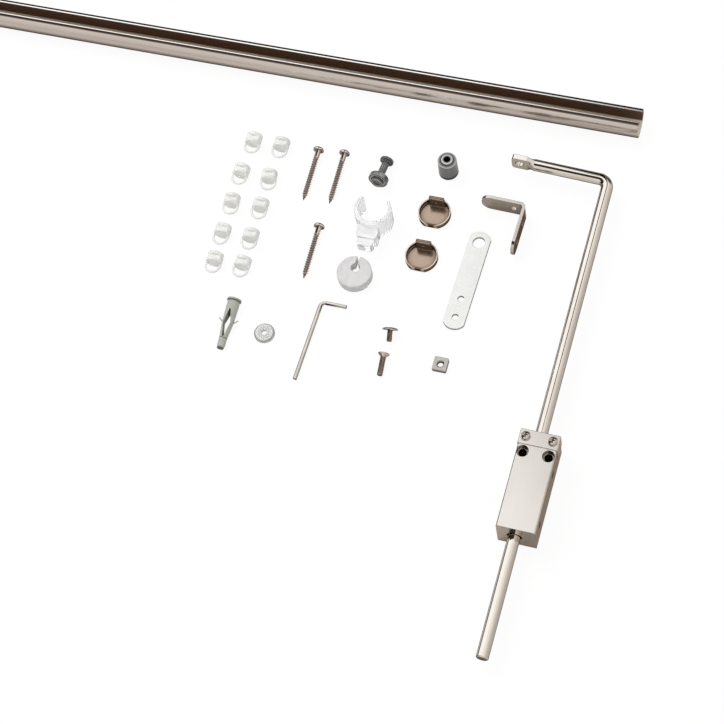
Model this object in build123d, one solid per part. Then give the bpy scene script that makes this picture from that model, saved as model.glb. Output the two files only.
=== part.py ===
from build123d import *
import math
import os

# A rising curtain rod for a door, laid out as its kit: the slotted rail, the lift rod in its
# lift housing and all the small fittings lie on one flat surface at height zero.
# The origin is the middle of the lift housing's back face. X runs along the rail, Y from the
# housing towards the rail, and Z stands up from the surface. All sizes are in millimetres.

# Play between pieces
running_play = 0.05
seat_play = 0.05
sliding_play = 0.3
axial_play = 0.15
cam_play = 0.3

# Rail, a round tube with a slot along its upper side
rail_length = 1000.0
rail_diameter = 20.0
rail_wall = 1.1
rail_slot_width = 8.6
rail_lip_depth = 2.0
rail_lip_round = 0.5
rail_right_end_x = 11.0
rail_axis_y = 275.6

# End caps, pressed cups with a flat where the slot is and a sprung tongue
cap_wall = 0.9
cap_height = 4.0
cap_fit_play = 0.2
cap_tongue_width = 10.1
cap_tongue_height = 10.6
cap_tongue_depth = 2.8
cap_tongue_sheet = 0.8
cap_tongue_hole = 1.6
cap_tongue_hole_height = 6.2
cap_places = [(-110.3, 183.9), (-110.5, 150.0)]

# Gliders, which hang by a round head in the rail, their neck in its slot
glider_disc_radius = 5.5
glider_head_length = 2.7
glider_neck_play = 0.3
glider_neck_width = 9.8
glider_neck_corner = 1.5
glider_foot_length = 2.1
glider_edge_round = 0.7
glider_ring_wire = 1.7
glider_ring_centre_radius = 4.9
glider_ring_leg = 1.8
glider_places = [
    (-247.6, 216.7, 1.6),
    (-227.3, 216.9, 0.0),
    (-248.6, 191.0, -1.8),
    (-229.0, 190.6, 7.1),
    (-248.6, 167.1, 3.5),
    (-227.9, 167.7, 1.4),
    (-247.6, 143.4, -1.1),
    (-227.8, 143.8, 1.8),
    (-246.7, 121.5, 1.1),
    (-226.8, 122.3, -0.8),
]

# Wood screws
wood_screw_length = 39.4
wood_screw_shank_radius = 1.85
wood_screw_tip_length = 5.0
wood_screw_head_radius = 3.7
wood_screw_head_height = 2.6
wood_screw_places = [(-201.2, 214.2), (-182.8, 215.3), (-184.2, 156.4)]

# Roller: an axle with a button at one end and a wheel that turns at the other
axle_button_radius = 4.8
axle_button_height = 1.8
axle_stem_radius = 2.6
axle_stem_length = 13.2
axle_dimple_radius = 0.7
axle_journal_radius = 2.1
axle_head_radius = 4.1
axle_head_height = 1.8
axle_recess_radius = 2.7
axle_recess_depth = 0.9
wheel_radius = 6.8
wheel_width = 3.7
roller_rim_round = 0.5
roller_place = (-152.1, 215.2)
roller_turn = -5.0

# Spacer sleeve
sleeve_bottom_radius = 6.8
sleeve_top_radius = 6.5
sleeve_height = 15.0
sleeve_boss_radius = 3.9
sleeve_boss_height = 1.3
sleeve_rim_round = 0.6
sleeve_boss_round = 0.5
sleeve_place = (-109.5, 218.5)

# Screws, nut and their shared thread
bolt_radius = 2.0
mushroom_head_radius = 5.15
mushroom_head_height = 1.8
mushroom_shank_length = 7.7
mushroom_turn = 7.0
mushroom_place = (-116.2, 91.4)
countersunk_head_radius = 3.9
countersunk_head_height = 2.2
countersunk_rim = 0.3
countersunk_turn = 3.5
countersunk_length = 15.4
countersunk_place = (-115.9, 74.4)
nut_side = 9.5
nut_height = 3.2
nut_corner_chamfer = 0.5
nut_sink = 0.6
nut_place = (-78.0, 75.5)

# Rail clip
clip_play = 0.2
clip_arm_wall = 1.7
clip_back_wall = 3.2
clip_height = 18.0
clip_mouth_half_angle = 52.0
clip_web_width = 14.0
clip_web_end = 20.7
clip_web_low = 2.0
clip_web_high = 14.0
clip_foot_width = 11.0
clip_foot_end = 25.8
clip_foot_low = 4.0
clip_foot_high = 12.0
clip_web_round = 2.0
clip_foot_round = 1.6
clip_place = (-148.6, 171.1)

# Split collar
collar_radius = 11.8
collar_height = 8.0
collar_bore_radius = 3.2
collar_bore_offset = 3.0
collar_slot_width = 2.0
collar_edge_round = 0.8
collar_place = (-150.6, 126.9)

# Flat strip of the strap plate and the angle bracket
strip_width = 14.5
strip_thickness = 2.1
strip_screw_radius = 2.25
plate_length = 74.0
plate_end_radius = 8.4
plate_rod_hole_inset = 8.2
plate_rod_hole_play = 0.2
plate_hole_insets = (8.6, 22.4)
plate_turn = -1.8
plate_place = (-76.3, 139.4)
bracket_long_leg = 35.0
bracket_short_leg = 31.0
bracket_bend_radius = 2.2
bracket_end_round = 6.4
bracket_short_leg_hole = 8.6
bracket_long_leg_holes = (12.2, 26.7)
bracket_corner = (-49.2, 197.6)
bracket_turn = -1.4

# Wall plug
plug_flange_radius = 4.9
plug_flange_height = 1.3
plug_neck_radius = 4.2
plug_neck_length = 7.0
plug_waist_radius = 2.7
plug_waist_at = 29.0
plug_tail_radius = 2.75
plug_tip_radius = 2.2
plug_length = 36.0
plug_tip_length = 2.5
plug_bore_radius = 1.9
plug_slot_half_width = 2.5
plug_slot_start = 8.2
plug_slot_widest = 17.5
plug_slot_end = 28.0
plug_fin_radius = 0.4
plug_fin_length = 4.6
plug_fin_angle = 48.0
plug_place = (-224.4, 90.9)
plug_turn = 0.5

# Clear screw button
button_radius = 7.05
button_height = 3.5
button_wall = 1.2
button_hole_radius = 1.9
button_sink_radius = 4.2
button_sink_depth = 0.9
button_place = (-198.7, 73.0)

# Hex key, which fits the sockets of the side set screws
key_across_flats = 2.5
key_long_leg = 59.4
key_short_leg = 18.5
key_spread = 1.9
key_bend_radius = 3.0
key_corner = (-167.3, 103.1)

# Lift rod
rod_radius = 4.0
rod_bend_radius = 6.5
rod_bend_y = 225.9
rod_offset_x = -1.2
rod_low_end_y = -114.0
arm_length = 66.8
arm_rise = 1.95
eye_length = 10.6
eye_height = 12.0
eye_thickness = 3.6
eye_blend = 5.0
eye_hole_radius = 3.0
eye_hole_inset = 5.4
eye_corner_round = 2.4
eye_edge_round = 0.6
rod_end_chamfer = 0.6

# Lift housing; the whole lift unit lies a little off square to the rail
lift_unit_turn = -0.35
housing_width = 25.0
housing_length = 66.5
housing_depth = 26.0
chamber_half_width = 8.5
housing_front_wall = 4.0
housing_low_wall = 4.0
housing_edge_bevel = 0.8
housing_low_hole_radius = 4.9
back_plate_thickness = 1.5
back_plate_lap = 1.4
back_plate_corner_round = 1.0
door_screw_spacing = 16.6
door_screw_radius = 2.7
door_screw_from_top = 14.7
door_screw_recess_radius = 3.9
door_screw_recess_depth = 3.2
chamber_to_screw_wall = 1.55

# Bearing cap on the housing's top, its bush and its screws
bearing_length = 10.0
cap_proud = 0.4
bush_radius = 5.2
cap_screw_spacing = 17.4
cap_screw_from_top = 4.6
cap_screw_radius = 1.25
cap_screw_play = 0.2
cap_screw_depth = 7.0
cap_screw_head_radius = 2.8
cap_screw_head_height = 2.0
washer_radius = 3.3
washer_thickness = 0.5

# Helical cam in the housing: the cross pin climbs it as the arm swings
swing_angle = 120.0
lift_height = 12.0
cam_low_height = 8.0
cam_bore_play = 0.6
cam_ramp_step = 10.0
cam_flat_angle = 30.0
cam_pin_radius = 1.5
cam_pin_end_play = 0.6
cam_pin_chamfer = 0.3
slider_length = 8.0
slider_gap = 0.45
slider_edge_chamfer = 1.0
rod_collar_radius = 6.5
rod_collar_thickness = 1.2
rod_groove_depth = 0.5
set_screw_radius = 2.5
set_screw_from_low = 10.25
set_screw_from_top = 21.95
set_screw_z = 14.6
set_screw_socket_depth = 2.0

# Places along the housing that several pieces share
rod_axis_z = housing_depth / 2
housing_top_y = housing_length / 2
housing_low_y = -housing_length / 2
bearing_low_y = housing_top_y - bearing_length
door_screw_y = housing_top_y - door_screw_from_top
chamber_low_y = housing_low_y + housing_low_wall
chamber_top_y = door_screw_y - door_screw_radius - chamber_to_screw_wall
chamber_right_x = rod_offset_x + chamber_half_width
set_screw_length = housing_width / 2 - chamber_right_x
set_screw_ys = (housing_low_y + set_screw_from_low, housing_top_y - set_screw_from_top)
chamber_top_z = housing_depth - housing_front_wall
cap_screw_y = housing_top_y - cap_screw_from_top
cap_top_z = housing_depth + cap_proud
cam_radius = chamber_half_width - seat_play * 2
cam_bore_radius = rod_radius + cam_bore_play
cam_top_y = chamber_low_y + cam_low_height + lift_height

# How far the pin's axis stays above the ramp, so that the round pin clears the slope
ramp_slope = lift_height / math.radians(swing_angle) / cam_bore_radius
pin_above_ramp = cam_pin_radius * math.hypot(1, ramp_slope) + cam_play
pin_rest_y = chamber_low_y + cam_low_height + pin_above_ramp
slider_low_y = cam_top_y + slider_gap + rod_collar_thickness + axial_play

# The rail's slot decides the glider's neck: it is this thick across the slot, and this long
glider_neck_thickness = rail_slot_width - 2 * glider_neck_play
glider_neck_length = rail_lip_depth + 2 * glider_neck_play


def lay_down(solid, place, first_touch, second_touch, rounding=0.0, turn=0.0):
    """Lay an upright solid down, its lower end towards -Y, so that it rests on two rims.

    Each touch is the radius and height of a rim; rounding is how far both rims are rounded.
    """
    first_radius, first_height = first_touch
    second_radius, second_height = second_touch
    lean = math.atan2(first_radius - second_radius, first_height - second_height)
    reach = (first_radius - rounding) * math.cos(lean) - first_height * math.sin(lean)
    stand = Pos(place[0], place[1], reach + rounding) * Rot(0, 0, turn)
    return stand * Rot(-90 + math.degrees(lean), 0, 0) * solid


def along_rod(solid, y):
    """Turn an upright solid onto the rod's axis, its base at the given place along Y."""
    return Pos(rod_offset_x, y, rod_axis_z) * Rot(-90, 0, 0) * solid


def upright(radius, low, high):
    """A cylinder that stands on the XY plane from one height to another."""
    return Pos(0, 0, low) * Cylinder(radius, high - low, align=(Align.CENTER, Align.CENTER, Align.MIN))


def rail_profile():
    """Section of the slotted tube in its own plane, the slot at the top with turned-in lips."""
    radius = rail_diameter / 2
    half_slot = rail_slot_width / 2
    slot_top = math.sqrt(radius ** 2 - half_slot ** 2)
    lip_low = slot_top - rail_lip_depth
    tube = Circle(radius) - Circle(radius - rail_wall)
    for side in (-1, 1):
        lip = Pos(side * (half_slot + rail_wall / 2), lip_low) * Rectangle(
            rail_wall, radius, align=(Align.CENTER, Align.MIN)
        )
        tube += lip & Circle(radius)
    tube -= Pos(0, radius) * Rectangle(rail_slot_width, rail_diameter)
    lip_corners = [
        corner for corner in tube.vertices()
        if abs(abs(corner.X) - half_slot) < 0.01
    ]
    return fillet(lip_corners, rail_lip_round)


def make_rail():
    """The rail lies on its back with the slot up, its right end at the named place."""
    rail = extrude(Plane.YZ * rail_profile(), rail_length)
    return Pos(rail_right_end_x - rail_length, rail_axis_y, rail_diameter / 2) * rail


def make_end_cap(place):
    """Pressed cup over the tube's end; its flat closes the slot and its tongue grips inside."""
    inner_radius = rail_diameter / 2 + cap_fit_play
    radius = inner_radius + cap_wall
    flat = math.sqrt((rail_diameter / 2) ** 2 - (rail_slot_width / 2) ** 2) + cap_fit_play
    outline = Circle(radius) & Pos(0, radius) * Rectangle(4 * radius, 2 * (radius + flat + cap_wall))
    hollow = Circle(inner_radius) & Pos(0, radius) * Rectangle(4 * radius, 2 * (radius + flat))
    cup = extrude(outline, cap_height) - Pos(0, 0, cap_wall) * extrude(hollow, cap_height)
    tongue_y = rail_diameter / 2 - rail_wall - cap_fit_play - cap_tongue_depth / 2
    section = SlotOverall(cap_tongue_height + cap_tongue_depth, cap_tongue_depth)
    section -= SlotOverall(
        cap_tongue_height + cap_tongue_depth - 2 * cap_tongue_sheet,
        cap_tongue_depth - 2 * cap_tongue_sheet,
    )
    section = Rot(0, 0, 90) * section
    middle = (cap_tongue_height - cap_tongue_depth) / 2
    folded = extrude(Plane.YZ * section, cap_tongue_width / 2, both=True)
    folded = Pos(0, tongue_y, middle) * folded
    folded -= Pos(0, 0, -rail_diameter) * Box(
        2 * rail_diameter, 2 * rail_diameter, 2 * rail_diameter + cap_wall
    )
    hole = Rot(90, 0, 0) * Cylinder(cap_tongue_hole / 2, 4 * cap_tongue_depth)
    folded -= Pos(0, tongue_y, cap_tongue_hole_height) * hole
    return Pos(place[0], place[1], 0) * (cup + folded)


def glider_disc(far_end, length):
    """A round disc across the glider's length, its rims rounded, that reaches from far_end down."""
    disc = Cylinder(glider_disc_radius, length, align=(Align.CENTER, Align.CENTER, Align.MIN))
    disc = fillet(disc.edges().filter_by(GeomType.CIRCLE), glider_edge_round)
    return Pos(0, far_end, glider_disc_radius) * Rot(90, 0, 0) * disc


def make_glider(x, y, turn):
    """Round head, neck as thick as the slot is wide, round foot and the ring for the hook."""
    head = glider_disc(0, glider_head_length)
    neck = Box(
        glider_neck_width,
        glider_neck_length + 2 * glider_edge_round,
        glider_neck_thickness,
        align=(Align.CENTER, Align.MAX, Align.CENTER),
    )
    neck = fillet(neck.edges().filter_by(Axis.Y), glider_neck_corner)
    foot_y = -glider_head_length - glider_neck_length
    foot = glider_disc(foot_y, glider_foot_length)
    ring_y = foot_y - glider_foot_length
    middle = glider_disc_radius
    start = ring_y + glider_foot_length / 2
    turn_y = ring_y - glider_ring_leg
    reach = glider_ring_centre_radius
    leg_in = Line((-reach, start, middle), (-reach, turn_y, middle))
    bow = ThreePointArc((-reach, turn_y, middle), (0, turn_y - reach, middle), (reach, turn_y, middle))
    leg_out = Line((reach, turn_y, middle), (reach, start, middle))
    path = Wire([leg_in, bow, leg_out])
    wire_end = Plane(origin=(-reach, start, middle), z_dir=(0, -1, 0)) * Circle(glider_ring_wire / 2)
    ring = sweep(wire_end, path=path)
    glider = head + Pos(0, -glider_head_length + glider_edge_round, middle) * neck + foot
    glider += ring
    return Pos(x, y, 0) * Rot(0, 0, turn) * glider


def turned(points):
    """Solid of revolution about Z from a closed outline of radius and height pairs."""
    face = make_face(Polyline(*[(radius, height) for radius, height in points], close=True))
    return revolve(Plane.XZ * face, Axis.Z)


def domed_head(radius, height):
    """A round screw head, flat below, its top a shallow dome on a short rim."""
    rim = height * 0.3
    arc = ThreePointArc((radius, rim), (radius * 0.62, height * 0.84), (0, height))
    outline = arc + Line((0, height), (0, 0)) + Line((0, 0), (radius, 0)) + Line((radius, 0), (radius, rim))
    return revolve(Plane.XZ * make_face(outline), Axis.Z)


def cross_recess(radius, top, depth):
    """Two crossed tapered slots that a screwdriver fits."""
    width = radius * 0.26
    length = radius * 1.1
    recess = None
    for angle in (0, 90):
        blade = Pos(0, 0, top) * Box(length, width, 2 * depth)
        blade = Rot(0, 0, angle) * blade
        recess = blade if recess is None else recess + blade
    return recess


def make_wood_screw(place):
    """Round head, straight shank and a pointed tip; it lies on its head's rim and its tip."""
    straight = wood_screw_length - wood_screw_tip_length
    shank = turned([
        (0, 0.2),
        (wood_screw_shank_radius, 0.2),
        (wood_screw_shank_radius, -straight),
        (0, -wood_screw_length),
    ])
    head = domed_head(wood_screw_head_radius, wood_screw_head_height)
    depth = wood_screw_head_height * 0.55
    head -= cross_recess(wood_screw_head_radius, wood_screw_head_height, depth)
    touches = (wood_screw_head_radius, 0), (wood_screw_shank_radius, -straight)
    return lay_down(shank + head, place, *touches)


def make_mushroom_screw():
    """Machine screw with a wide thin dome that holds the rail on the arm's eye."""
    shank = upright(bolt_radius, -mushroom_shank_length, 0.2)
    head = domed_head(mushroom_head_radius, mushroom_head_height)
    depth = mushroom_head_height * 0.55
    head -= cross_recess(mushroom_head_radius * 0.75, mushroom_head_height, depth)
    touches = (mushroom_head_radius, 0), (bolt_radius, -mushroom_shank_length)
    return lay_down(shank + head, mushroom_place, *touches, turn=mushroom_turn)


def make_countersunk_screw():
    """Machine screw with a flat conical head."""
    body = turned([
        (0, 0),
        (countersunk_head_radius, 0),
        (countersunk_head_radius, -countersunk_rim),
        (bolt_radius, -countersunk_head_height),
        (bolt_radius, -countersunk_length),
        (0, -countersunk_length),
    ])
    depth = countersunk_head_height * 0.55
    body -= cross_recess(countersunk_head_radius, 0, depth)
    touches = (countersunk_head_radius, -countersunk_rim), (bolt_radius, -countersunk_length)
    return lay_down(body, countersunk_place, *touches, turn=countersunk_turn)


def make_square_nut():
    """Flat square nut that slides in the rail and takes the bolts."""
    nut = Box(nut_side, nut_side, nut_height, align=(Align.CENTER, Align.CENTER, Align.MIN))
    nut = chamfer(nut.edges().filter_by(Axis.Z), nut_corner_chamfer)
    nut -= Cylinder(bolt_radius, 3 * nut_height)
    sink = Cone(
        bolt_radius, bolt_radius + nut_sink, nut_sink, align=(Align.CENTER, Align.CENTER, Align.MAX)
    )
    nut -= Pos(0, 0, nut_height) * sink
    return Pos(nut_place[0], nut_place[1], 0) * nut


def lay_roller(solid):
    """Put a roller piece, built with its wheel end down, where the roller lies on both rims."""
    button_top = axle_button_height / 2 - roller_rim_round
    wheel_top = -axle_button_height / 2 - axle_stem_length - axial_play - roller_rim_round
    touches = (axle_button_radius, button_top), (wheel_radius, wheel_top)
    return lay_down(solid, roller_place, *touches, rounding=roller_rim_round, turn=roller_turn)


def make_roller_axle():
    """Button, stem with a dimple, journal for the wheel and a recessed head that keeps it on."""
    shoulder = -axle_button_height / 2 - axle_stem_length
    journal_end = shoulder - wheel_width - 2 * axial_play
    head_end = journal_end - axle_head_height
    axle = turned([
        (0, axle_button_height / 2),
        (axle_button_radius, axle_button_height / 2),
        (axle_button_radius, -axle_button_height / 2),
        (axle_stem_radius, -axle_button_height / 2),
        (axle_stem_radius, shoulder),
        (axle_journal_radius, shoulder),
        (axle_journal_radius, journal_end),
        (axle_head_radius, journal_end),
        (axle_head_radius, head_end),
        (axle_recess_radius, head_end),
        (axle_recess_radius, head_end + axle_recess_depth),
        (0, head_end + axle_recess_depth),
    ])
    button_rims = [
        edge for edge in axle.edges().filter_by(GeomType.CIRCLE)
        if abs(edge.radius - axle_button_radius) < 0.01
    ]
    axle = fillet(button_rims, roller_rim_round)
    dimple = Rot(90, 0, 0) * Cylinder(axle_dimple_radius, 2 * axle_stem_radius)
    return lay_roller(axle - Pos(0, -axle_stem_radius - 1.4, -axle_stem_length / 2) * dimple)


def make_roller_wheel():
    """Solid wheel with rounded rims and a shallow step on its outer side."""
    top = -axle_button_height / 2 - axle_stem_length - axial_play
    wheel = upright(wheel_radius, top - wheel_width, top)
    wheel = fillet(wheel.edges().filter_by(GeomType.CIRCLE), roller_rim_round)
    wheel -= upright(axle_journal_radius + running_play, top - 2 * wheel_width, top + wheel_width)
    return lay_roller(wheel)


def make_spacer_sleeve():
    """Slightly tapered cylinder with a ring boss and a bore for a wood screw."""
    body = Cone(
        sleeve_bottom_radius,
        sleeve_top_radius,
        sleeve_height,
        align=(Align.CENTER, Align.CENTER, Align.MIN),
    )
    body = fillet(body.edges().filter_by(GeomType.CIRCLE).sort_by(Axis.Z)[-1:], sleeve_rim_round)
    boss = upright(sleeve_boss_radius, sleeve_height - 0.2, sleeve_height + sleeve_boss_height)
    boss = fillet(boss.edges().filter_by(GeomType.CIRCLE).sort_by(Axis.Z)[-1:], sleeve_boss_round)
    bore = upright(strip_screw_radius, -1, sleeve_height + sleeve_boss_height + 1)
    return Pos(sleeve_place[0], sleeve_place[1], 0) * (body + boss - bore)


def make_rail_clip():
    """Sprung C that snaps round the rail, on a stepped foot; it lies on its side."""
    inner_radius = rail_diameter / 2 + clip_play
    outer_radius = inner_radius + (clip_arm_wall + clip_back_wall) / 2
    offset = (clip_back_wall - clip_arm_wall) / 2
    ring = Pos(0, -offset) * Circle(outer_radius) - Circle(inner_radius)
    reach = 2 * outer_radius
    half_gap = reach * math.tan(math.radians(clip_mouth_half_angle))
    mouth = make_face(Polyline((0, 0), (half_gap, reach), (-half_gap, reach), close=True))
    clip = extrude(ring - mouth, clip_height)
    web_start = inner_radius + clip_back_wall / 2
    web_length = clip_web_end - web_start
    web = Box(
        clip_web_width,
        web_length,
        clip_web_high - clip_web_low,
        align=(Align.CENTER, Align.MAX, Align.MIN),
    )
    low_edges = web.edges().filter_by(Axis.Z).sort_by(Axis.Y)[:2]
    web = fillet(low_edges, clip_web_round)
    foot = Box(
        clip_foot_width,
        clip_foot_end - clip_web_end + 1,
        clip_foot_high - clip_foot_low,
        align=(Align.CENTER, Align.MAX, Align.MIN),
    )
    foot_edges = foot.edges().filter_by(Axis.Z).sort_by(Axis.Y)[:2]
    foot = fillet(foot_edges, clip_foot_round)
    clip += Pos(0, -web_start, clip_web_low) * web
    clip += Pos(0, -clip_web_end + 1, clip_foot_low) * foot
    return Pos(clip_place[0], clip_place[1], 0) * clip


def make_split_collar():
    """Thick round collar with an off-centre bore and a slot to slip it on sideways."""
    collar = upright(collar_radius, 0, collar_height)
    collar = fillet(collar.edges().filter_by(GeomType.CIRCLE), collar_edge_round)
    bore = Pos(0, collar_bore_offset, 0) * Cylinder(collar_bore_radius, 3 * collar_height)
    slot = Box(collar_slot_width, collar_radius, 3 * collar_height)
    slot = Pos(0, collar_bore_offset + collar_bore_radius * 0.8 + collar_radius / 2, 0) * slot
    return Pos(collar_place[0], collar_place[1], 0) * (collar - bore - slot)


def make_strap_plate():
    """Flat strap with bowed ends, a hole for the lift rod and two screw holes."""
    half = strip_width / 2
    bow = plate_end_radius - math.sqrt(plate_end_radius ** 2 - half ** 2)
    straight = plate_length / 2 - bow
    outline = Line((-half, -straight), (-half, straight))
    outline += ThreePointArc((-half, straight), (0, straight + bow), (half, straight))
    outline += Line((half, straight), (half, -straight))
    outline += ThreePointArc((half, -straight), (0, -straight - bow), (-half, -straight))
    plate = extrude(make_face(outline), strip_thickness)
    rod_hole_y = plate_length / 2 - plate_rod_hole_inset
    plate -= Pos(0, rod_hole_y, 0) * Cylinder(rod_radius + plate_rod_hole_play, 3 * strip_thickness)
    for inset in plate_hole_insets:
        plate -= Pos(0, inset - plate_length / 2, 0) * Cylinder(strip_screw_radius, 3 * strip_thickness)
    return Pos(plate_place[0], plate_place[1], 0) * Rot(0, 0, plate_turn) * plate


def make_angle_bracket():
    """Strip bent square, standing on its edge, with rounded ends and three screw holes."""
    long_arm = Pos(-strip_thickness / 2, -bracket_long_leg / 2) * Rectangle(strip_thickness, bracket_long_leg)
    short_arm = Pos(-bracket_short_leg / 2, -strip_thickness / 2) * Rectangle(
        bracket_short_leg, strip_thickness
    )
    bracket = extrude(long_arm + short_arm, strip_width)
    upright_edges = bracket.edges().filter_by(Axis.Z)
    outer = upright_edges.sort_by_distance((0, 0, strip_width / 2))[:1]
    bracket = fillet(outer, bracket_bend_radius + strip_thickness)
    inner_corner = (-strip_thickness, -strip_thickness, strip_width / 2)
    inner = bracket.edges().filter_by(Axis.Z).sort_by_distance(inner_corner)[:1]
    bracket = fillet(inner, bracket_bend_radius)
    short_end = bracket.edges().filter_by(Axis.Y).sort_by(Axis.X)[:2]
    bracket = fillet(short_end, bracket_end_round)
    long_end = bracket.edges().filter_by(Axis.X).sort_by(Axis.Y)[:2]
    bracket = fillet(long_end, bracket_end_round)
    middle = strip_width / 2
    across_y = Rot(90, 0, 0) * Cylinder(strip_screw_radius, 4 * strip_thickness)
    bracket -= Pos(-bracket_short_leg_hole, 0, middle) * across_y
    for inset in bracket_long_leg_holes:
        across_x = Rot(0, 90, 0) * Cylinder(strip_screw_radius, 4 * strip_thickness)
        bracket -= Pos(0, -inset, middle) * across_x
    return Pos(bracket_corner[0], bracket_corner[1], 0) * Rot(0, 0, bracket_turn) * bracket


def make_wall_plug():
    """Flanged plug with a bore, a split belly that spreads and two thin wings."""
    body = turned([
        (0, 0),
        (plug_flange_radius, 0),
        (plug_flange_radius, -plug_flange_height),
        (plug_neck_radius, -plug_flange_height - 0.3),
        (plug_neck_radius, -plug_neck_length),
        (plug_neck_radius - 0.3, -plug_slot_widest),
        (plug_waist_radius, -plug_waist_at),
        (plug_tail_radius, -plug_waist_at - 0.5),
        (plug_tail_radius, -plug_length + plug_tip_length),
        (plug_tip_radius, -plug_length),
        (0, -plug_length),
    ])
    split = make_face(Polyline(
        (0.4, -plug_slot_start),
        (plug_slot_half_width, -plug_slot_widest),
        (0.4, -plug_slot_end),
        (-0.4, -plug_slot_end),
        (-plug_slot_half_width, -plug_slot_widest),
        (-0.4, -plug_slot_start),
        close=True,
    ))
    split = extrude(Plane.XZ * split, 2 * plug_neck_radius, both=True)
    bore = upright(plug_bore_radius, -plug_slot_start - 3, 1)
    plug = body - split - bore
    for side in (-1, 1):
        fin = Cylinder(plug_fin_radius, plug_fin_length, align=(Align.CENTER, Align.CENTER, Align.MIN))
        fin = Rot(0, side * plug_fin_angle, 0) * fin
        plug += Pos(side * (plug_neck_radius - 0.9), 0, -plug_slot_widest) * fin
    touches = (
        (plug_flange_radius, -plug_flange_height),
        (plug_tail_radius, -plug_length + plug_tip_length),
    )
    return lay_down(plug, plug_place, *touches, turn=plug_turn)


def make_screw_button():
    """Clear domed seat for a screw head, sunk in the middle and hollow below round its hub."""
    sink_floor = button_height - button_sink_depth
    hollow_height = sink_floor - button_wall
    button = domed_head(button_radius, button_height)
    button -= upright(button_sink_radius, sink_floor, button_height + 1)
    hollow = upright(button_radius - button_wall, -1, hollow_height)
    hub = upright(button_hole_radius + button_wall, -1, hollow_height)
    button -= hollow - hub
    button -= upright(button_hole_radius, -1, button_height + 1)
    return Pos(button_place[0], button_place[1], 0) * button


def make_hex_key():
    """Hexagon bar bent square, flat on the surface."""
    height = key_across_flats / 2
    key_reach = key_long_leg - height
    spread = math.radians(key_spread)
    route = FilletPolyline(
        (key_short_leg - height, 0, height),
        (0, 0, height),
        (-key_reach * math.sin(spread), -key_reach * math.cos(spread), height),
        radius=key_bend_radius,
    )
    start = Plane(origin=(key_short_leg - height, 0, height), x_dir=(0, 1, 0), z_dir=(-1, 0, 0))
    section = start * RegularPolygon(height, 6, major_radius=False)
    key = sweep(section, path=route)
    return Pos(key_corner[0], key_corner[1], 0) * key


def rod_arm_frame():
    """Place of the bend, turned so that the arm runs along its own -X."""
    return Pos(rod_offset_x, rod_bend_y, rod_axis_z) * Rot(0, 0, -arm_rise)


def make_lift_rod():
    """Round rod bent to an arm whose end is pressed flat and bored, with grooves and a pin hole."""
    rise = math.radians(arm_rise)
    round_end = arm_length - eye_length - eye_blend
    arm_end_x = rod_offset_x - round_end * math.cos(rise)
    arm_end_y = rod_bend_y + round_end * math.sin(rise)
    route = FilletPolyline(
        (rod_offset_x, rod_low_end_y, rod_axis_z),
        (rod_offset_x, rod_bend_y, rod_axis_z),
        (arm_end_x, arm_end_y, rod_axis_z),
        radius=rod_bend_radius,
    )
    start = Plane(origin=(rod_offset_x, rod_low_end_y, rod_axis_z), x_dir=(1, 0, 0), z_dir=(0, 1, 0))
    rod = sweep(start * Circle(rod_radius), path=route)
    low_edge = rod.edges().filter_by(GeomType.CIRCLE).sort_by(Axis.Y)[:1]
    rod = chamfer(low_edge, rod_end_chamfer)

    blend_start = Plane(origin=(-round_end, 0, 0), x_dir=(0, 1, 0), z_dir=(-1, 0, 0))
    blend_end = Plane(origin=(-round_end - eye_blend, 0, 0), x_dir=(0, 1, 0), z_dir=(-1, 0, 0))
    flat_section = RectangleRounded(eye_thickness, eye_height, eye_edge_round)
    blend = loft([blend_start * Circle(rod_radius), blend_end * flat_section])
    side_outline = Pos(-arm_length + eye_length / 2, 0) * Rectangle(eye_length, eye_height)
    tip_corners = side_outline.vertices().sort_by(Axis.X)[:2]
    side_outline = fillet(tip_corners, eye_corner_round)
    eye = extrude(Plane.XZ * side_outline, eye_thickness / 2, both=True)
    hole_x = -arm_length + eye_hole_inset
    eye -= Pos(hole_x, 0, 0) * Rot(90, 0, 0) * Cylinder(eye_hole_radius, 4 * eye_thickness)
    rod += rod_arm_frame() * (blend + eye)

    groove = upright(2 * rod_radius, 0, rod_collar_thickness)
    groove -= upright(rod_radius - rod_groove_depth, -1, rod_collar_thickness + 1)
    for y in rod_collar_starts():
        rod -= along_rod(groove, y)
    pin_hole = Rot(0, 90, 0) * Cylinder(cam_pin_radius, 4 * rod_radius)
    return rod - Pos(rod_offset_x, pin_rest_y, rod_axis_z) * pin_hole


def rod_collar_starts():
    """Where the collars below and above the slider begin along the rod."""
    below = slider_low_y - axial_play - rod_collar_thickness
    above = slider_low_y + slider_length + axial_play
    return (below, above)


def make_rod_collars():
    """Two retaining rings, sprung into the rod's grooves either side of the slider."""
    ring = upright(rod_collar_radius, seat_play, rod_collar_thickness - seat_play)
    ring -= upright(rod_radius - rod_groove_depth + seat_play, -1, rod_collar_thickness + 1)
    return Compound(children=[along_rod(ring, y) for y in rod_collar_starts()])


def make_cam_pin():
    """Cross pin through the rod, whose ends ride on the cam's two ramps."""
    length = 2 * (cam_radius - cam_pin_end_play)
    pin = Rot(0, 90, 0) * Cylinder(cam_pin_radius, length)
    pin = chamfer(pin.edges().filter_by(GeomType.CIRCLE), cam_pin_chamfer)
    return Pos(rod_offset_x, pin_rest_y, rod_axis_z) * pin


def ramp_height(angle):
    """Height of the cam's surface above its base, at an angle round the rod from rest."""
    climb = lift_height * angle / swing_angle
    flat = pin_above_ramp - cam_pin_radius - cam_play
    return cam_low_height + max(climb, flat)


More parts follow.
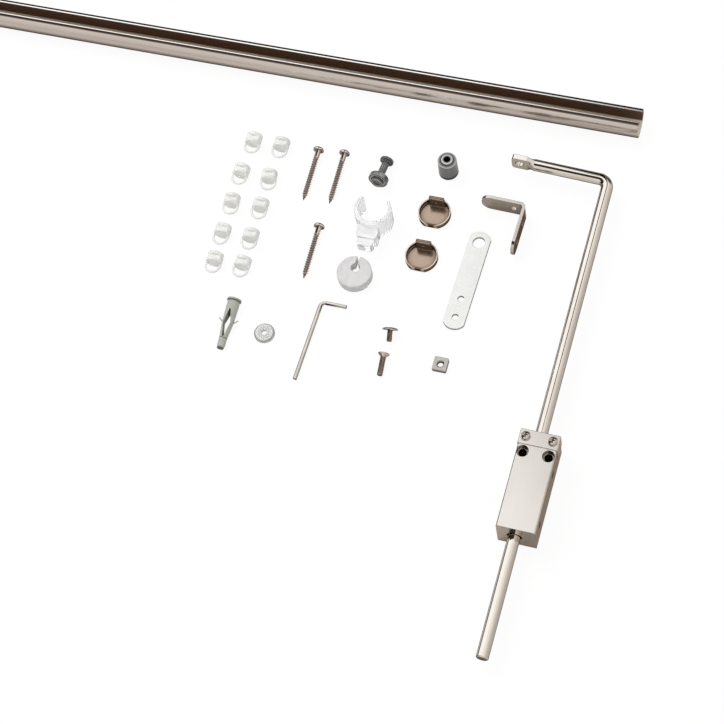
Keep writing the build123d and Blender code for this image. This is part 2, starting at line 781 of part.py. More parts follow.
def ramp_cutter():
    """What is cut away above one ramp: radial sections joined by ruled faces."""
    inner = cam_bore_radius * 0.8
    outer = cam_radius * 1.15
    above = cam_low_height + lift_height + 1
    count = round((swing_angle + cam_flat_angle) / cam_ramp_step)
    sections = []
    for step in range(count + 1):
        angle = -cam_flat_angle + step * (swing_angle + cam_flat_angle) / count
        low = ramp_height(angle)
        wall = Polyline((inner, low), (outer, low), (outer, above), (inner, above), close=True)
        sections.append(Rot(0, 0, angle) * (Plane.XZ * make_face(wall)))
    return loft(sections, ruled=True)


def make_cam_sleeve():
    """Sleeve with two helical ramps, half a turn apart, on which the cross pin climbs."""
    sleeve = upright(cam_radius, 0, cam_low_height + lift_height)
    sleeve -= upright(cam_bore_radius, -1, cam_low_height + lift_height + 1)
    cutter = ramp_cutter()
    for half_turn in (0, 180):
        sleeve -= Rot(0, 0, half_turn) * cutter
    return along_rod(sleeve, chamber_low_y)


def make_slider():
    """Block that rides up and down in the chamber without turning and carries the rod."""
    half = chamber_half_width - sliding_play
    low_z = back_plate_thickness + sliding_play
    high_z = chamber_top_z - sliding_play
    block = Pos(rod_offset_x - half, slider_low_y, low_z) * Box(
        2 * half, slider_length, high_z - low_z, align=(Align.MIN, Align.MIN, Align.MIN)
    )
    block = chamfer(block.edges().filter_by(Axis.Y), slider_edge_chamfer)
    bore = along_rod(upright(rod_radius + running_play, -1, slider_length + 1), slider_low_y)
    return block - bore


def door_screw_xs():
    """Places of the two door screws either side of the rod."""
    return (-door_screw_spacing / 2, door_screw_spacing / 2)


def cap_screw_xs():
    """Places of the two screws that hold the bearing cap."""
    return (-cap_screw_spacing / 2, cap_screw_spacing / 2)


def back_plate_box(play):
    """The space of the back plate, let into the housing's back."""
    half_width = chamber_half_width + back_plate_lap - play
    low = chamber_low_y - back_plate_lap + play
    high = chamber_top_y + back_plate_lap * 0.6 - play
    plate = Box(2 * half_width, high - low, back_plate_thickness, align=(Align.CENTER, Align.MIN, Align.MIN))
    return Pos(rod_offset_x, low, 0) * fillet(plate.edges().filter_by(Axis.Z), back_plate_corner_round)


def make_lift_housing():
    """Cast block with a chamber open to the back, a bearing seat and the door screw holes."""
    body = Box(
        housing_width, housing_length, housing_depth, align=(Align.CENTER, Align.CENTER, Align.MIN)
    )
    front_edges = body.edges().filter_by(Axis.Y).sort_by(Axis.Z)[-2:]
    body = chamfer(front_edges, housing_edge_bevel)
    seat = Box(
        2 * housing_width, 2 * bearing_length, housing_depth, align=(Align.CENTER, Align.MIN, Align.MIN)
    )
    body -= Pos(0, bearing_low_y, rod_axis_z) * seat
    body -= along_rod(upright(bush_radius + seat_play, 0, bearing_length + 1), bearing_low_y)
    chamber = Box(
        2 * chamber_half_width,
        chamber_top_y - chamber_low_y,
        chamber_top_z,
        align=(Align.CENTER, Align.MIN, Align.MIN),
    )
    body -= Pos(rod_offset_x, chamber_low_y, 0) * chamber
    body -= back_plate_box(0)
    neck_length = bearing_low_y - chamber_top_y + 2
    body -= along_rod(upright(rod_radius + sliding_play, 0, neck_length), chamber_top_y - 1)
    body -= along_rod(upright(housing_low_hole_radius, 0, housing_low_wall + 2), housing_low_y - 1)
    recess_floor = housing_depth - door_screw_recess_depth
    for x in door_screw_xs():
        body -= Pos(x, door_screw_y, 0) * upright(door_screw_radius, -1, housing_depth + 1)
        body -= Pos(x, door_screw_y, 0) * upright(door_screw_recess_radius, recess_floor, housing_depth + 1)
    for x in cap_screw_xs():
        low = rod_axis_z - cap_screw_depth - seat_play
        body -= Pos(x, cap_screw_y, 0) * upright(cap_screw_radius + seat_play, low, rod_axis_z + 1)
    for y in set_screw_ys:
        bore = Rot(0, 90, 0) * upright(set_screw_radius + seat_play, 0, set_screw_length + 2)
        body -= Pos(chamber_right_x - 1, y, set_screw_z) * bore
    return body


def make_back_plate():
    """Thin plate pressed into the housing's back, which closes the chamber."""
    return back_plate_box(seat_play)


def make_bearing_cap():
    """Front half of the top bearing, a little proud of the casting all round."""
    width = housing_width + 2 * cap_proud
    height = cap_top_z - rod_axis_z
    block = Box(width, bearing_length, height, align=(Align.CENTER, Align.MIN, Align.MIN))
    block = Pos(0, bearing_low_y, rod_axis_z) * block
    block = chamfer(block.edges().filter_by(Axis.Y).sort_by(Axis.Z)[-2:], housing_edge_bevel * 0.6)
    block -= along_rod(upright(bush_radius + seat_play, -1, bearing_length + 1), bearing_low_y)
    for x in cap_screw_xs():
        block -= Pos(x, cap_screw_y, 0) * upright(cap_screw_radius + cap_screw_play, 0, cap_top_z + 1)
    return block


def make_bearing_bush():
    """Plain bush in which the rod turns and slides, clamped between housing and cap."""
    bush = upright(bush_radius, 0, bearing_length)
    bush -= upright(rod_radius + running_play, -1, bearing_length + 1)
    return along_rod(bush, bearing_low_y)


def make_cap_screws():
    """Two round-headed screws that clamp the bearing cap."""
    screws = []
    for x in cap_screw_xs():
        seat = cap_top_z + washer_thickness
        low = rod_axis_z - cap_screw_depth
        head = domed_head(cap_screw_head_radius, cap_screw_head_height)
        head -= cross_recess(cap_screw_head_radius, cap_screw_head_height, cap_screw_head_height * 0.6)
        screw = upright(cap_screw_radius, low, seat + 0.2) + Pos(0, 0, seat) * head
        screws.append(Pos(x, cap_screw_y, 0) * screw)
    return Compound(children=screws)


def make_cap_washers():
    """A plain washer below each cap screw's head."""
    washers = []
    for x in cap_screw_xs():
        washer = upright(washer_radius, cap_top_z, cap_top_z + washer_thickness)
        washer -= upright(cap_screw_radius + seat_play, 0, cap_top_z + 1)
        washers.append(Pos(x, cap_screw_y, 0) * washer)
    return Compound(children=washers)


def make_set_screws():
    """Two headless screws in the housing's side, with sockets for the hex key."""
    screws = []
    socket = RegularPolygon(key_across_flats / 2 + running_play, 6, major_radius=False)
    for y in set_screw_ys:
        screw = upright(set_screw_radius, 0, set_screw_length)
        screw -= Pos(0, 0, set_screw_length - set_screw_socket_depth) * extrude(socket, set_screw_length)
        screws.append(Pos(chamber_right_x, y, set_screw_z) * Rot(0, 90, 0) * screw)
    return Compound(children=screws)


def lift_unit_nodes():
    """The rod and everything that its housing holds, square to the unit's own axes."""
    return {
        "lift_rod": make_lift_rod(),
        "rod_collars": make_rod_collars(),
        "cam_pin": make_cam_pin(),
        "cam_sleeve": make_cam_sleeve(),
        "lift_slider": make_slider(),
        "lift_housing": make_lift_housing(),
        "housing_back_plate": make_back_plate(),
        "bearing_cap": make_bearing_cap(),
        "bearing_bush": make_bearing_bush(),
        "cap_screws": make_cap_screws(),
        "cap_washers": make_cap_washers(),
        "side_set_screws": make_set_screws(),
    }


def all_nodes():
    """Every node of the kit by its name."""
    nodes = {"rail": make_rail()}
    for number, place in enumerate(cap_places, start=1):
        nodes[f"end_cap_{number}"] = make_end_cap(place)
    for number, (x, y, turn) in enumerate(glider_places, start=1):
        nodes[f"glider_{number:02d}"] = make_glider(x, y, turn)
    nodes["wood_screws"] = Compound(children=[make_wood_screw(place) for place in wood_screw_places])
    nodes["roller_axle"] = make_roller_axle()
    nodes["roller_wheel"] = make_roller_wheel()
    nodes["spacer_sleeve"] = make_spacer_sleeve()
    nodes["rail_clip"] = make_rail_clip()
    nodes["split_collar"] = make_split_collar()
    nodes["strap_plate"] = make_strap_plate()
    nodes["angle_bracket"] = make_angle_bracket()
    nodes["wall_plug"] = make_wall_plug()
    nodes["screw_button"] = make_screw_button()
    nodes["hex_key"] = make_hex_key()
    nodes["mushroom_screw"] = make_mushroom_screw()
    nodes["countersunk_screw"] = make_countersunk_screw()
    nodes["square_nut"] = make_square_nut()
    for name, solid in lift_unit_nodes().items():
        nodes[name] = Rot(0, 0, lift_unit_turn) * solid
    return nodes


os.makedirs("parts", exist_ok=True)
for name, solid in all_nodes().items():
    export_step(solid, f"parts/{name}.step")
    print(name, round(solid.volume, 2))
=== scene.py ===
import math

import bmesh
import bpy
from mathutils import Matrix, Vector


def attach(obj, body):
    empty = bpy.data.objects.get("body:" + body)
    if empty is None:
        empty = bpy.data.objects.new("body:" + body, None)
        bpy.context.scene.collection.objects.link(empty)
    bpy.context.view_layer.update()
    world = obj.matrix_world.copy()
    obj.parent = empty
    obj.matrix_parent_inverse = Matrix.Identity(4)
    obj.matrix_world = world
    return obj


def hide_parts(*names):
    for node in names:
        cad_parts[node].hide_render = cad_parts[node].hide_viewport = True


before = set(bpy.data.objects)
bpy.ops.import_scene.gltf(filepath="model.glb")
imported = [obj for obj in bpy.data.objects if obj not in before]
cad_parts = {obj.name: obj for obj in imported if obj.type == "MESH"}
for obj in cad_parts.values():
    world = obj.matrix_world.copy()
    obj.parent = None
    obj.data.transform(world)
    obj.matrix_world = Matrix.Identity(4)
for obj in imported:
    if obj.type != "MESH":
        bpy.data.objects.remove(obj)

# Rising curtain rod for a door, laid out as its kit on a pale table.
# Sizes of pieces are in millimetres, places of the camera and the studio in metres.
print("frame loaded,", len(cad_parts), "nodes")
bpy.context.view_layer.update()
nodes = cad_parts
mm = 0.001
plainWhite = (1.0, 1.0, 1.0)

# Camera, at the photograph's angle
cameraLook = {
    "place": (0.1592, -0.4507, 1.2130),
    "right": (0.95724484, 0.26574569, -0.11428712),
    "up": (-0.19494482, 0.88449893, 0.42386101),
    "back": (0.21372607, -0.38345908, 0.89848779),
    "focalLength": 102.18,
    "sensorWidth": 36.0,
    "nearest": 0.01,
    "farthest": 50.0,
}


def placeCamera(look):
    data = bpy.data.cameras.new("camera")
    data.lens = look["focalLength"]
    data.sensor_width = look["sensorWidth"]
    data.clip_start = look["nearest"]
    data.clip_end = look["farthest"]
    camera = bpy.data.objects.new("camera", data)
    turn = Matrix((look["right"], look["up"], look["back"])).transposed().to_4x4()
    camera.matrix_world = Matrix.Translation(look["place"]) @ turn
    bpy.context.scene.collection.objects.link(camera)
    bpy.context.scene.camera = camera


placeCamera(cameraLook)
bpy.context.scene.view_settings.view_transform = "Standard"
print("camera placed")


# Shader nodes
def node(tree, kind, **settings):
    made = tree.nodes.new(kind)
    for name, value in settings.items():
        setattr(made, name, value)
    return made


def emptyTree(owner):
    owner.use_nodes = True
    owner.node_tree.nodes.clear()
    return owner.node_tree


def feed(tree, socket, value):
    # a number or a colour becomes the socket's constant, anything else a link
    if isinstance(value, tuple):
        socket.default_value = (*value, 1.0)
    elif isinstance(value, (int, float)):
        socket.default_value = value
    else:
        tree.links.new(value, socket)


def mathNode(tree, operation, *values):
    made = node(tree, "ShaderNodeMath", operation=operation)
    for socket, value in zip(made.inputs, values):
        feed(tree, socket, value)
    return made.outputs[0]


def product(tree, *factors):
    total = factors[0]
    for factor in factors[1:]:
        total = mathNode(tree, "MULTIPLY", total, factor)
    return total


def mapped(tree, value, low, high, fromLow=0.0, fromHigh=1.0):
    spread = node(tree, "ShaderNodeMapRange")
    spread.inputs["From Min"].default_value = fromLow
    spread.inputs["From Max"].default_value = fromHigh
    spread.inputs["To Min"].default_value = low
    spread.inputs["To Max"].default_value = high
    tree.links.new(value, spread.inputs["Value"])
    return spread.outputs["Result"]


def mixed(tree, factor, first, second, blend="MIX"):
    mix = node(tree, "ShaderNodeMix", data_type="RGBA", blend_type=blend)
    feed(tree, mix.inputs["Factor"], factor)
    feed(tree, mix.inputs["A"], first)
    feed(tree, mix.inputs["B"], second)
    return mix.outputs["Result"]


def timesColour(tree, *colours):
    total = colours[0]
    for colour in colours[1:]:
        total = mixed(tree, 1.0, total, colour, "MULTIPLY")
    return total


def fillRamp(ramp, stops):
    elements = ramp.color_ramp.elements
    while len(elements) > 1:
        elements.remove(elements[-1])
    elements[0].position = stops[0][0]
    elements[0].color = (*stops[0][1], 1.0)
    for place, colour in stops[1:]:
        added = elements.new(place)
        added.color = (*colour, 1.0)


def bandNode(tree, value, stops, low=-1.0, high=1.0):
    # colours along a measure that runs from low to high
    made = node(tree, "ShaderNodeValToRGB")
    fillRamp(made, [((place - low) / (high - low), colour) for place, colour in stops])
    tree.links.new(mapped(tree, value, 0.0, 1.0, low, high), made.inputs[0])
    return made.outputs["Color"]


def splitCoords(tree, kind):
    # X, Y and Z, of a piece's own coordinates or of the direction into the room
    coords = node(tree, "ShaderNodeTexCoord")
    split = node(tree, "ShaderNodeSeparateXYZ")
    tree.links.new(coords.outputs[kind], split.inputs[0])
    return split.outputs


def colourShader(tree, kind, colour, level=None):
    # a shader of one colour; the level is one more socket's name and its constant
    made = node(tree, kind)
    feed(tree, made.inputs["Color"], colour)
    if level:
        made.inputs[level[0]].default_value = level[1]
    return made.outputs[0]


def pickShader(tree, factor, first, second):
    # the first shader where the factor is 0, the second where it is 1
    pick = node(tree, "ShaderNodeMixShader")
    for socket, value in zip(pick.inputs, (factor, first, second)):
        tree.links.new(value, socket)
    return pick.outputs[0]


def rayKinds(tree):
    # rays that see the room, straight or through clear plastic, and rays of a reflection
    path = node(tree, "ShaderNodeLightPath")
    seen = mathNode(tree, "MAXIMUM", path.outputs["Is Camera Ray"], path.outputs["Is Transmission Ray"])
    return seen, path.outputs["Is Glossy Ray"]


# Studio: white room, one big soft lamp from the upper left
studioLook = {
    "roomLight": 0.66,        # what the room gives matt surfaces
    "roomColour": (1.0, 0.99, 0.975),
    "mirrorLight": 1.16,      # how bright the white screen is in a reflection
    "lampPlace": (-1.1, 0.7, 1.7),
    "lampAim": (-0.1, 0.1, 0.0),
    "lampSize": 1.3,
    "lampPower": 17.0,
    "floorWhite": 0.92,       # the floor's own white, before its shadow
    "floorShade": (0.095, 0.095, 0.095),    # how much of the shadow shows
    "floorMatt": (0.82, 0.82, 0.81),        # what the floor sends to matt surfaces
    "floorMirrored": (0.66, 0.63, 0.59),    # and to reflections, with a sheen at low angles
    "floorSheen": (0.86, 0.85, 0.84),
    "sheenRoughness": 0.12,
    "sheenBlend": 0.5,
    "floorHalf": 4.0,
    "floorDrop": 0.00005,     # just under the pieces that lie on it
}
# What reflections show of the room, by the direction they look in.
# A white screen hangs over the left and the back; a dark gap runs round its edge, then the walls.
screen = {
    "rightEdge": -0.01,
    "frontEdge": -0.28,
    "gapAcross": 0.105,       # half the gap's width on the right
    "gapDeep": 0.32,          # and in front
    "gapReach": 2.0,          # how far the gap's bands run, in half gaps
    "leftLow": (0.14, 0.30),  # the screen's lower end on the left, dark under it
    "leftFrom": (-0.45, -0.70),
    "leftShare": 0.95,
    "mendFrom": (0.39, 0.34),   # where the gap on the right closes, by depth
    "mendTo": (0.10, 0.22),
    "mendShare": 0.85,
    "mendAcross": (1.1, 1.4),   # and by half gaps across
}
gapDark = (0.03, 0.025, 0.02)
# Across the screen's edge, in half gaps: screen, gap, wall
gapBands = [(-1.20, plainWhite), (-0.95, gapDark), (0.95, gapDark), (1.20, plainWhite)]
# From left (-1) to right (1): the right wall is cream, then beige
rightBands = [
    (-1.0, plainWhite),
    (0.0, plainWhite),
    (0.10, (0.90, 0.87, 0.82)),
    (0.32, (0.86, 0.83, 0.78)),
    (0.57, (0.69, 0.66, 0.625)),
    (0.79, (0.61, 0.575, 0.545)),
    (0.92, (0.50, 0.46, 0.43)),
]
# From front (-1) to back (1): the front wall is beige too
frontBands = [
    (-0.95, (0.64, 0.62, 0.58)),
    (-0.83, (0.66, 0.64, 0.60)),
    (-0.72, (0.78, 0.76, 0.72)),
    (-0.55, plainWhite),
]
# From front (-1) to back (1): the far back is dark
depthBands = [(-1.0, plainWhite), (0.66, plainWhite), (0.80, (0.10, 0.08, 0.07))]


def mirroredRoom(tree):
    # the room's colour in the direction a reflection looks
    x, y, z = splitCoords(tree, "Generated")
    across = mathNode(tree, "SUBTRACT", x, screen["rightEdge"])
    across = mathNode(tree, "DIVIDE", across, screen["gapAcross"])
    deep = mathNode(tree, "SUBTRACT", screen["frontEdge"], y)
    deep = mathNode(tree, "DIVIDE", deep, screen["gapDeep"])
    gap = bandNode(tree, mathNode(tree, "MAXIMUM", across, deep), gapBands,
                   -screen["gapReach"], screen["gapReach"])
    closed = product(tree, mapped(tree, y, 0.0, screen["mendShare"], *screen["mendFrom"]),
                     mapped(tree, y, 0.0, 1.0, *screen["mendTo"]))
    inGap = mapped(tree, mathNode(tree, "ABSOLUTE", across), 1.0, 0.0, *screen["mendAcross"])
    gap = mixed(tree, product(tree, closed, inGap), gap, plainWhite)
    toLeft = mapped(tree, x, 0.0, screen["leftShare"], *screen["leftFrom"])
    low = mapped(tree, z, 1.0, 0.0, *screen["leftLow"])
    light = mathNode(tree, "SUBTRACT", 1.0, product(tree, toLeft, low))
    return timesColour(tree, bandNode(tree, x, rightBands), bandNode(tree, y, frontBands), gap,
                       bandNode(tree, y, depthBands), light)


def makeRoom(look):
    world = bpy.data.worlds.new("room")
    bpy.context.scene.world = world
    tree = emptyTree(world)
    output = node(tree, "ShaderNodeOutputWorld")
    seen, reflected = rayKinds(tree)
    kind = "ShaderNodeBackground"
    white = colourShader(tree, kind, plainWhite, ("Strength", 1.0))
    mirror = colourShader(tree, kind, mirroredRoom(tree), ("Strength", look["mirrorLight"]))
    light = colourShader(tree, kind, look["roomColour"], ("Strength", look["roomLight"]))
    unseen = pickShader(tree, reflected, light, mirror)
    tree.links.new(pickShader(tree, seen, unseen, white), output.inputs["Surface"])


def makeLamp(look):
    data = bpy.data.lights.new("softLamp", "AREA")
    data.shape = "SQUARE"
    data.size = look["lampSize"]
    data.energy = look["lampPower"]
    lamp = bpy.data.objects.new("softLamp", data)
    lamp.visible_glossy = False    # reflections show the room's own screen instead
    place = Vector(look["lampPlace"])
    aim = Vector(look["lampAim"]) - place
    lamp.matrix_world = Matrix.Translation(place) @ aim.to_track_quat("-Z", "Y").to_matrix().to_4x4()
    bpy.context.scene.collection.objects.link(lamp)


def looseObject(name, bm):
    mesh = bpy.data.meshes.new(name)
    bm.to_mesh(mesh)
    bm.free()
    made = bpy.data.objects.new(name, mesh)
    bpy.context.scene.collection.objects.link(made)
    return made


def floorFinish(look):
    # white with a soft shadow where it is seen, paler or darker where it only lights the pieces
    material = bpy.data.materials.new("paleFloor")
    tree = emptyTree(material)
    output = node(tree, "ShaderNodeOutputMaterial")
    seen, reflected = rayKinds(tree)
    slope = node(tree, "ShaderNodeLayerWeight")
    slope.inputs["Blend"].default_value = look["sheenBlend"]
    matt = colourShader(tree, "ShaderNodeBsdfDiffuse", look["floorMatt"])
    dimmer = colourShader(tree, "ShaderNodeBsdfDiffuse", look["floorMirrored"])
    sheen = colourShader(tree, "ShaderNodeBsdfAnisotropic", look["floorSheen"],
                         ("Roughness", look["sheenRoughness"]))
    mirrored = pickShader(tree, slope.outputs["Facing"], dimmer, sheen)
    unseen = pickShader(tree, reflected, matt, mirrored)
    both = node(tree, "ShaderNodeAddShader")
    tree.links.new(colourShader(tree, "ShaderNodeBsdfDiffuse", look["floorShade"]), both.inputs[0])
    glow = colourShader(tree, "ShaderNodeEmission", plainWhite, ("Strength", look["floorWhite"]))
    tree.links.new(glow, both.inputs[1])
    tree.links.new(pickShader(tree, seen, unseen, both.outputs[0]), output.inputs["Surface"])
    return material


def makeFloor(look):
    bm = bmesh.new()
    bmesh.ops.create_grid(bm, x_segments=1, y_segments=1, size=look["floorHalf"])
    bm.transform(Matrix.Translation((0, 0, -look["floorDrop"])))
    floor = looseObject("floor", bm)
    floor.data.materials.append(floorFinish(look))


makeRoom(studioLook)
makeLamp(studioLook)
makeFloor(studioLook)
print("studio set up")

# Finishes
finishFine = {
    "cloudBand": (0.35, 0.65),     # where in a pattern's range its effect starts and ends
    "streakBand": (0.35, 0.75),
    "speckBand": (0.6, 0.72),
    "roughBand": (0.3, 0.7),
    "edgeBand": (0.80, 0.98),      # how alike a rounded and a plain normal are at an edge
    "edgeSamples": 8,
    "creviceSoft": 0.5,
    "creviceSamples": 6,
    "bumpDepth": 0.1,
}
screenCurve = {
    "whole": 255,
    "straightTo": 0.04045,
    "slope": 12.92,
    "offset": 0.055,
    "power": 2.4,
}


def fromScreen(red, green, blue):
    # screen colour 0 to 255 as the renderer's own
    def one(value):
        share = value / screenCurve["whole"]
        if share <= screenCurve["straightTo"]:
            return share / screenCurve["slope"]
        return ((share + screenCurve["offset"]) / (1 + screenCurve["offset"])) ** screenCurve["power"]
    return (one(red), one(green), one(blue))


def startMaterial(name):
    material = bpy.data.materials.new(name)
    tree = emptyTree(material)
    output = node(tree, "ShaderNodeOutputMaterial")
    shader = node(tree, "ShaderNodeBsdfPrincipled")
    tree.links.new(shader.outputs["BSDF"], output.inputs["Surface"])
    return material, tree, shader


def pattern(tree, scale, detail, roughness=0.55):
    # noise on the piece's own coordinates, scale in features per metre along X, Y and Z
    coords = node(tree, "ShaderNodeTexCoord")
    mapping = node(tree, "ShaderNodeMapping")
    mapping.inputs["Scale"].default_value = scale
    noise = node(tree, "ShaderNodeTexNoise")
    noise.inputs["Scale"].default_value = 1.0
    noise.inputs["Detail"].default_value = detail
    noise.inputs["Roughness"].default_value = roughness
    tree.links.new(coords.outputs["Object"], mapping.inputs["Vector"])
    tree.links.new(mapping.outputs["Vector"], noise.inputs["Vector"])
    return noise.outputs["Fac"]


def edgeMask(tree, radius):
    # 1 along edges, where painted highlights, partly standing for wear, and painted dark outlines go, 0 on
    # open faces; and the rounded normal
    bevel = node(tree, "ShaderNodeBevel", samples=finishFine["edgeSamples"])
    bevel.inputs["Radius"].default_value = radius * mm
    face = node(tree, "ShaderNodeNewGeometry")
    dot = node(tree, "ShaderNodeVectorMath", operation="DOT_PRODUCT")
    tree.links.new(bevel.outputs["Normal"], dot.inputs[0])
    tree.links.new(face.outputs["Normal"], dot.inputs[1])
    mask = mapped(tree, dot.outputs["Value"], 1.0, 0.0, *finishFine["edgeBand"])
    return mask, bevel.outputs["Normal"]


def fromLine(tree, axes, centre):
    # how far a point lies from a line, along the two axes across it and straight
    split = splitCoords(tree, "Object")
    aside, above = (mathNode(tree, "SUBTRACT", split[axis], middle * mm)
                    for axis, middle in zip(axes, centre))
    squares = (mathNode(tree, "POWER", aside, 2.0), mathNode(tree, "POWER", above, 2.0))
    return aside, above, mathNode(tree, "SQRT", mathNode(tree, "ADD", *squares))


def rising(tree, value, band):
    # 0 to 1 over a band in millimetres
    return mapped(tree, value, 0.0, 1.0, band[0] * mm, band[1] * mm)


def falling(tree, value, band):
    return mapped(tree, value, 1.0, 0.0, band[0] * mm, band[1] * mm)


def trackTone(tree, tone, look):
    # painted light and shade on the rail: its bare inside painted lighter low down, a painted highlight on
    # each lip of its slot and a painted shade line beside it
    aside, above, away = fromLine(tree, "YZ", look["axis"])
    across = mathNode(tree, "ABSOLUTE", aside)
    outside = rising(tree, away, look["wallBand"])
    upper = rising(tree, above, look["upperBand"])
    bare = mixed(tree, rising(tree, above, look["tanBand"]), fromScreen(*look["insideLow"]),
                 fromScreen(*look["insideHigh"]))
    tone = mixed(tree, outside, bare, tone)
    groove = product(tree, falling(tree, across, look["grooveBand"]), outside, upper)
    tone = mixed(tree, groove, tone, fromScreen(*look["grooveColour"]))
    lip = product(tree, falling(tree, across, look["lipBand"]), rising(tree, away, look["lipReach"]), upper)
    tone = mixed(tree, lip, tone, fromScreen(*look["lipColour"]))
    return tone, outside, lip


def turnedUp(tree, normal, share, look):
    # a normal leant towards straight up, as on a rolled lip
    lean = node(tree, "ShaderNodeVectorMath", operation="SCALE")
    lean.inputs[0].default_value = look["lipNormal"]
    tree.links.new(product(tree, share, look["lipPull"]), lean.inputs["Scale"])
    total = node(tree, "ShaderNodeVectorMath", operation="ADD")
    tree.links.new(normal, total.inputs[0])
    tree.links.new(lean.outputs[0], total.inputs[1])
    unit = node(tree, "ShaderNodeVectorMath", operation="NORMALIZE")
    tree.links.new(total.outputs[0], unit.inputs[0])
    return unit.outputs[0]


def crevices(tree, tone, look):
    # painted shade from ambient occlusion, darkening holes, recesses and thread roots
    hidden = node(tree, "ShaderNodeAmbientOcclusion", samples=finishFine["creviceSamples"], only_local=True)
    hidden.inputs["Distance"].default_value = look["creviceReach"] * mm
    clear = look["creviceClear"]
    openness = mapped(tree, hidden.outputs["AO"], 0.0, 1.0, clear - finishFine["creviceSoft"], clear)
    return mixed(tree, openness, fromScreen(*look["creviceColour"]), tone)


def ringTone(tree, tone, look):
    # rings round an axis, screen colours or greys by the distance from it in mm; on the caps, the sleeve and
    # the wheel they are painted light and shade
    straight = fromLine(tree, look["ringAxes"], look["ringCentre"])[-1]
    away = mathNode(tree, "DIVIDE", straight, mm)
    stops = []
    for radius, shade in look["rings"]:
        colour = shade if isinstance(shade, tuple) else (shade,) * 3
        stops.append((radius, fromScreen(*colour)))
    return mixed(tree, look["ringShare"], tone, bandNode(tree, away, stops, 0.0, stops[-1][0]))


def levelTone(tree, tone, axis, levels):
    # painted shade in darker bands along an axis: shares of the tone by the place in mm
    place = mathNode(tree, "DIVIDE", splitCoords(tree, "Object")[axis], mm)
    stops = [(height, (share,) * 3) for height, share in levels]
    return timesColour(tree, tone, bandNode(tree, place, stops, stops[0][0], stops[-1][0]))


def shadedTone(tree, tone, look):
    # what both kinds of finish may carry: rings, bands of painted shade along an axis, and painted shade in
    # crevices
    if "rings" in look:
        tone = ringTone(tree, tone, look)
    if "levels" in look:
        tone = levelTone(tree, tone, *look["levels"])
    if look["creviceReach"]:
        tone = crevices(tree, tone, look)
    return tone


def roughen(tree, shader, height, strength, normal):
    bump = node(tree, "ShaderNodeBump")
    bump.inputs["Strength"].default_value = strength
    bump.inputs["Distance"].default_value = finishFine["bumpDepth"] * mm
    tree.links.new(height, bump.inputs["Height"])
    tree.links.new(normal, bump.inputs["Normal"])
    tree.links.new(bump.outputs["Normal"], shader.inputs["Normal"])


def metalFinish(name, look):
    # plated or cast metal: streaks along the work, cloudy patches, and a painted highlight along its edges,
    # partly wear
    material, tree, shader = startMaterial(name)
    streaks = pattern(tree, look["streaks"], detail=4.0, roughness=0.6)
    clouds = pattern(tree, look["clouds"], detail=2.0)
    cloudy = mapped(tree, clouds, 0.0, 1.0, *finishFine["cloudBand"])
    tone = mixed(tree, cloudy, look["colour"], look["cloudColour"])
    fine = mapped(tree, streaks, 0.0, look["streakShare"], *finishFine["streakBand"])
    tone = mixed(tree, fine, tone, look["streakColour"])
    rough = mapped(tree, streaks, *look["roughness"], *finishFine["roughBand"])
    mask, normal = edgeMask(tree, look["edgeWidth"])
    shader.inputs["Metallic"].default_value = look["metallic"]
    if "inside" in look:
        inside = look["inside"]
        tone, outside, lip = trackTone(tree, tone, inside)
        bare = mapped(tree, outside, inside["metallic"], look["metallic"])
        tree.links.new(bare, shader.inputs["Metallic"])
        rough = mathNode(tree, "MAXIMUM", rough, mapped(tree, outside, inside["roughness"], 0.0))
        normal = turnedUp(tree, normal, lip, inside)
    tone = shadedTone(tree, tone, look)
    # painted light along the edges: a painted highlight, partly wear; the housing's edges get a painted dark
    # outline instead
    tone = mixed(tree, product(tree, mask, look["edgeShare"]), tone, look["edgeColour"])
    tree.links.new(tone, shader.inputs["Base Color"])
    tree.links.new(rough, shader.inputs["Roughness"])
    # the tint of reflections at grazing angles, set dark as a painted dark reflection along the silhouettes
    shader.inputs["Specular Tint"].default_value = (*look["rimTint"], 1.0)
    roughen(tree, shader, streaks, look["bump"], normal)
    return material


def metal(colour, cloudColour, streakColour, edgeColour, **other):
    # a metal's look: what is not given stays as here
    look = {
        "colour": fromScreen(*colour),
        "cloudColour": fromScreen(*cloudColour),
        "streakColour": fromScreen(*streakColour),
        "edgeColour": fromScreen(*edgeColour),
        "streaks": (900, 900, 900),
        "streakShare": 0.4,
        "clouds": (120, 120, 120),
        "edgeWidth": 0.4,
        "edgeShare": 0.25,
        "roughness": (0.16, 0.24),
        "metallic": 1.0,
        "bump": 0.05,
        # a dark tint at grazing angles, a painted dark reflection along the silhouettes
        "rimTint": (0.42, 0.32, 0.25),
        # painted shade in crevices: its reach, its colour and how open a spot must be to stay clear of it
        "creviceReach": 3.0,
        "creviceColour": (58, 42, 33),
        "creviceClear": 0.8,
        "ringAxes": "XY",
        "ringShare": 0.8,
    }
    look.update(other)
    return look


trackInside = {
    "axis": (275.6, 10.0),
    "wallBand": (9.2, 9.4),       # from the axis: bare inside, then plated outside
    "tanBand": (-6.5, -6.0),      # above the axis: painted light, tan, under it, the inside's own dark brown over it
    # painted light on the lower inside
    "insideLow": (252, 236, 220),
    "insideHigh": (110, 84, 66),
    "metallic": 0.1,
    "roughness": 0.3,
    "upperBand": (4.0, 4.2),      # above the axis: where the lips and the painted shade line beside them start
    "grooveBand": (6.3, 6.9),     # across from the slot's middle
    # the painted shade line beside each lip
    "grooveColour": (82, 68, 60),
    "lipBand": (4.95, 5.2),
    "lipReach": (9.3, 9.6),
    # the painted highlight on each lip
    "lipColour": (255, 253, 250),
    "lipNormal": (0.0, 0.05, 1.0),
    "lipPull": 8.0,
}
